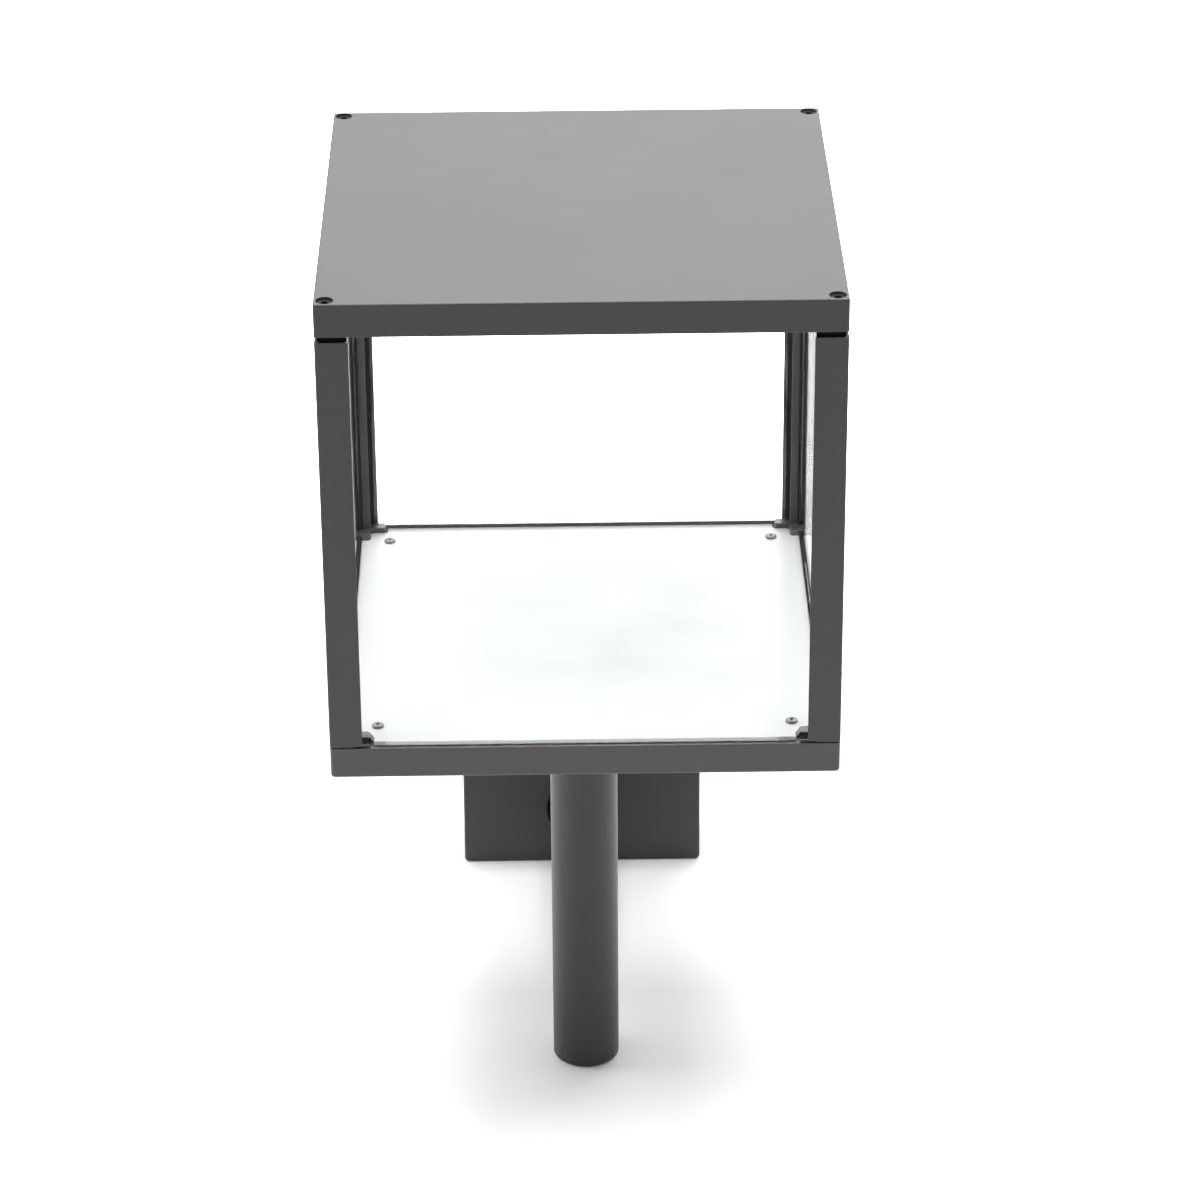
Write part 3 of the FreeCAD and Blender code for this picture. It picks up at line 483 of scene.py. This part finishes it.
# ---------------------------------------------------------------- pieces that are soft or rippled
def add_piece(name, shape, slot_name, body):
    """Turn mesh data into a smooth-shaded piece that rides on a body and is finished like a slot."""
    for face in shape.faces:
        face.smooth = True
    mesh = bpy.data.meshes.new(name)
    shape.to_mesh(mesh)
    shape.free()
    mesh.materials.append(finishes[slot_name])
    piece = bpy.data.objects.new(name, mesh)
    bpy.context.scene.collection.objects.link(piece)
    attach(piece, body)
    return piece


def cut_into_lengths(shape, low, high, spacing):
    """Cross cuts through a mesh along all three axes, so that its skin can ripple."""
    for axis in range(3):
        direction = Vector((0.0, 0.0, 0.0))
        direction[axis] = 1.0
        for step in range(int((high[axis] - low[axis]) / spacing)):
            cut = Vector(low)
            cut[axis] += (step + 0.5) * spacing
            everything = shape.verts[:] + shape.edges[:] + shape.faces[:]
            bmesh.ops.bisect_plane(shape, geom=everything, plane_co=cut, plane_no=direction)


def soften(shape, edge_radius, ripple, spacing=6 * MM):
    """Give a plain mesh rounded edges and an uneven skin, without letting it grow past its own bounds."""
    low = Vector([min(vertex.co[axis] for vertex in shape.verts) for axis in range(3)])
    high = Vector([max(vertex.co[axis] for vertex in shape.verts) for axis in range(3)])
    cut_into_lengths(shape, low, high, spacing)
    sharp_angle = 0.6
    sharp = [edge for edge in shape.edges if edge.is_manifold and edge.calc_face_angle() > sharp_angle]
    bmesh.ops.bevel(
        shape, geom=sharp, offset=edge_radius, segments=3, profile=0.5, affect="EDGES", clamp_overlap=True
    )
    shape.normal_update()
    swell_size = 1.7 * spacing
    for vertex in shape.verts:
        swell = 0.5 + 0.5 * noise.noise(vertex.co / swell_size)
        vertex.co -= vertex.normal * ripple * swell
        for axis in range(3):
            vertex.co[axis] = min(max(vertex.co[axis], low[axis]), high[axis])


def softened(node, edge_radius, ripple, spacing=6 * MM, longer=0.0, thicker=0.0, finish=None):
    """A soft piece in place of a plain CAD one: the same form with rounded edges and an uneven skin.

    longer is how far each end is pressed on into its neighbour, and thicker is how far the side that
    faces the lantern's middle plane swells.
    """
    low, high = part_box(node)
    long_axis = max(range(3), key=lambda axis: high[axis] - low[axis])
    middle = (low[long_axis] + high[long_axis]) / 2
    growth = 1.0 + 2 * longer / (high[long_axis] - low[long_axis])
    shape = bmesh.new()
    shape.from_mesh(nodes[node].data)
    bmesh.ops.remove_doubles(shape, verts=shape.verts, dist=0.01 * MM)
    bmesh.ops.dissolve_limit(shape, angle_limit=math.radians(1), verts=shape.verts, edges=shape.edges)
    for vertex in shape.verts:
        vertex.co[long_axis] = middle + (vertex.co[long_axis] - middle) * growth
        if abs(vertex.co.x) < abs(low.x + high.x) / 2:
            vertex.co.x -= math.copysign(thicker, vertex.co.x)
    soften(shape, edge_radius, ripple, spacing)
    piece = add_piece(f"{node}_soft", shape, slot_of_node[node], body_of_node[node])
    if finish:
        piece.data.materials[0] = finish
    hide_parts(node)


slot_of_node = {subpart["node"]: subpart["material_slot"] for subpart in frame["record"]["subparts"]}
seal_rubber = rubber("seal_rubber", dark=0.002, light=0.004, bloom=0.007, roughness=0.70, gloss=0.08)
rear_bead_rubber = rubber(
    "rear_bead_rubber", dark=0.045, light=0.065, bloom=0.085, roughness=0.60, gloss=0.5
)
softened(
    "glazing_bead_rear", edge_radius=0.2 * MM, ripple=0.10 * MM, longer=1.4 * MM,
    finish=rear_bead_rubber,
)
for side in ("left", "right"):
    softened(
        f"glazing_bead_{side}", edge_radius=0.2 * MM, ripple=0.10 * MM, longer=1.4 * MM, thicker=0.6 * MM,
        finish=seal_rubber,
    )
softened("glazing_tapes", edge_radius=0.25 * MM, ripple=0.10 * MM)
softened("cap_strips", edge_radius=0.5 * MM, ripple=0.15 * MM)
softened("setting_strips", edge_radius=0.15 * MM, ripple=0.05 * MM)
softened("diffuser_gasket", edge_radius=0.2 * MM, ripple=0.06 * MM)
softened("wall_gasket", edge_radius=0.4 * MM, ripple=0.25 * MM)
softened("arm_seal", edge_radius=0.7 * MM, ripple=0.12 * MM, spacing=4 * MM)
softened("lead_grommet", edge_radius=0.4 * MM, ripple=0.05 * MM, spacing=3 * MM)
softened("entry_grommet", edge_radius=0.6 * MM, ripple=0.06 * MM, spacing=3 * MM)
softened("thermal_pad", edge_radius=0.15 * MM, ripple=0.04 * MM, spacing=10 * MM)
softened("driver_pad", edge_radius=0.3 * MM, ripple=0.08 * MM)


def inner_seals():
    """Black rubber strips pressed in beside the posts against the panes' inner faces, two to a corner."""
    seal_width = 1.9 * MM
    seal_depth = 1.5 * MM
    post_core = 11.0 * MM
    pane_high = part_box("glass_front")[1]
    post_low, post_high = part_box("post_front_left")
    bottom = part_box("bottom_shoe_front_left")[1].z
    head_half = -post_low.x
    head_middle = Vector((0.0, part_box("base_tray")[0].y + head_half, 0.0))
    along = head_half - post_core - seal_width / 2
    inward = pane_high.y - head_middle.y + seal_depth / 2
    middle_height = (bottom + post_high.z) / 2
    size = Vector((seal_width, seal_depth, post_high.z - bottom))
    seals = bmesh.new()
    for quarter in range(4):
        turned = Matrix.Rotation(quarter * math.pi / 2, 4, "Z")
        for hand in (-1, 1):
            place = Matrix.Translation((hand * along, inward, middle_height))
            into_place = Matrix.Translation(head_middle) @ turned @ place
            bmesh.ops.create_cube(seals, size=1.0, matrix=into_place @ Matrix.Diagonal((*size, 1.0)))
    soften(seals, edge_radius=0.35 * MM, ripple=0.12 * MM)
    piece = add_piece("inner_seals", seals, "black_rubber", "head")
    piece.data.materials[0] = seal_rubber


inner_seals()


def arm_weld():
    """The rippled weld where the arm's saddle meets the stem, laid in even steps round the arm."""
    arm_radius = 15.0 * MM
    stem_radius = 16.2 * MM
    stem_middle_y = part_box("stem_tube")[0].y + stem_radius
    steps = 240
    sides = 10
    bead_radius = 1.3 * MM
    ripples = 44
    ripple_share = 0.10
    unevenness = 0.8
    shape = bmesh.new()
    rings = []
    for step in range(steps):
        angle = 2 * math.pi * step / steps
        outward = Vector((math.cos(angle), 0, math.sin(angle)))
        seam = outward * arm_radius
        seam.y = stem_middle_y + math.sqrt(stem_radius ** 2 - seam.x ** 2)
        beat = ripples * angle + unevenness * noise.noise(outward * 2.0)
        radius = bead_radius * (1.0 + ripple_share * math.sin(beat))
        lean = Vector((0, 1, 0))
        loop = []
        for side in range(sides):
            turn = 2 * math.pi * side / sides
            loop.append(shape.verts.new(seam + (outward * math.cos(turn) + lean * math.sin(turn)) * radius))
        rings.append(loop)
    for step in range(steps):
        here, ahead = rings[step], rings[(step + 1) % steps]
        for side in range(sides):
            beside = (side + 1) % sides
            shape.faces.new((here[side], here[beside], ahead[beside], ahead[side]))
    bmesh.ops.recalc_face_normals(shape, faces=shape.faces)
    add_piece("arm_weld", shape, "powder_coat", "bracket")


arm_weld()


# ---------------------------------------------------------------- floor, light and camera
def floor_finish():
    """White studio floor with a very faint mottle, lit from below, and much more so behind the lantern."""
    material, tree, shader = new_material("studio_floor")
    place = part_space(tree)
    cloud = noise_field(tree, place, size=0.4, detail=2.0)
    distance_behind = add_node(tree, "ShaderNodeSeparateXYZ", {"Vector": place}).outputs["Y"]
    glow = remap(tree, distance_behind, (0.15, 0.45), (0.09, 3.4))
    set_inputs(
        tree, shader, Base_Color=mix_colour(tree, cloud, grey(0.90), grey(0.92)),
        Roughness=remap(tree, cloud, NOISE_RANGE, (0.75, 0.85)),
        Emission_Color=WHITE, Emission_Strength=glow,
    )
    return material


def studio_floor():
    """A wide level floor at the stem's foot that ends a little in front of the lantern."""
    half = 9.0
    front_edge = -0.95
    mesh = bpy.data.meshes.new("studio_floor")
    shape = bmesh.new()
    middle = Matrix.Translation((0, front_edge + half, cad_low.z))
    bmesh.ops.create_grid(shape, x_segments=2, y_segments=2, size=half, matrix=middle)
    shape.to_mesh(mesh)
    shape.free()
    floor = bpy.data.objects.new("studio_floor", mesh)
    mesh.materials.append(floor_finish())
    bpy.context.scene.collection.objects.link(floor)


def softbox(name, place, target, width, height, radiance):
    """A rectangular studio light of even brightness that faces a target."""
    lamp = bpy.data.lights.new(name, "AREA")
    lamp.shape = "RECTANGLE"
    lamp.size = width
    lamp.size_y = height
    lamp.energy = radiance * math.pi * width * height
    holder = bpy.data.objects.new(name, lamp)
    holder.location = place
    holder.rotation_euler = (Vector(target) - Vector(place)).to_track_quat("-Z", "Y").to_euler()
    holder.visible_camera = False
    bpy.context.scene.collection.objects.link(holder)


def studio_world(front, back, under, seen):
    """White surroundings: dim in front, bright behind, and plain white where the camera sees them."""
    world = bpy.data.worlds.new("studio")
    world.use_nodes = True
    tree = world.node_tree
    direction = add_node(tree, "ShaderNodeTexCoord").outputs["Generated"]
    split = add_node(tree, "ShaderNodeSeparateXYZ", {"Vector": direction})
    level = remap(tree, split.outputs["Y"], (-0.7, 0.9), (front, back))
    above = remap(tree, split.outputs["Z"], (-0.15, 0.0), (0.0, 1.0))
    strength = add_node(tree, "ShaderNodeMapRange", {"Value": above, "To Min": under, "To Max": level})
    lighting = tree.nodes["Background"]
    lighting.inputs["Color"].default_value = WHITE
    tree.links.new(strength.outputs["Result"], lighting.inputs["Strength"])
    backdrop = add_node(tree, "ShaderNodeBackground", {"Color": WHITE, "Strength": seen})
    path = add_node(tree, "ShaderNodeLightPath").outputs
    through_glass = combine(tree, "LESS_THAN", path["Diffuse Depth"], 0.5)
    through_glass = combine(tree, "MULTIPLY", path["Is Transmission Ray"], through_glass)
    from_camera = combine(tree, "MAXIMUM", path["Is Camera Ray"], through_glass)
    mixed = add_node(
        tree, "ShaderNodeMixShader", {0: from_camera, 1: lighting.outputs[0], 2: backdrop.outputs[0]}
    )
    tree.links.new(mixed.outputs[0], tree.nodes["World Output"].inputs["Surface"])
    bpy.context.scene.world = world


def photo_camera():
    """The photograph's view: a long lens, tilted down at the lantern from the front."""
    place = Vector((-0.0119, -2.0257, 1.1502))
    tilt_down = math.radians(27.294)
    turn = math.radians(-0.644)
    roll = math.radians(-0.387)
    camera_data = bpy.data.cameras.new("photo_camera")
    camera_data.lens = 128.82
    camera_data.sensor_width = 36.0
    camera = bpy.data.objects.new("photo_camera", camera_data)
    facing = Matrix.Rotation(turn, 4, "Z") @ Matrix.Rotation(math.pi / 2 - tilt_down, 4, "X")
    camera.matrix_world = Matrix.Translation(place) @ facing @ Matrix.Rotation(roll, 4, "Z")
    bpy.context.scene.collection.objects.link(camera)
    bpy.context.scene.camera = camera


studio_floor()
lantern_middle = (0, -0.2, 0.2)
softbox("rear_left_softbox", (-1.7, 1.9, 1.5), lantern_middle, width=1.2, height=1.6, radiance=1.5)
softbox("rear_right_softbox", (1.7, 1.9, 1.5), lantern_middle, width=1.2, height=1.6, radiance=1.1)
softbox("rear_softbox", (0.80, 2.6, 1.9), lantern_middle, width=3.2, height=1.4, radiance=3.0)
softbox("top_softbox", (0, -0.3, 2.4), lantern_middle, width=1.6, height=1.6, radiance=7.3)
softbox("left_softbox", (-2.2, 0.2, 1.0), lantern_middle, width=1.2, height=1.2, radiance=5.2)
softbox("right_softbox", (2.2, 0.2, 1.0), lantern_middle, width=1.2, height=1.2, radiance=0.8)
studio_world(front=0.18, back=1.22, under=1.1, seen=2.4)
photo_camera()
bpy.context.scene.view_settings.view_transform = "Standard"
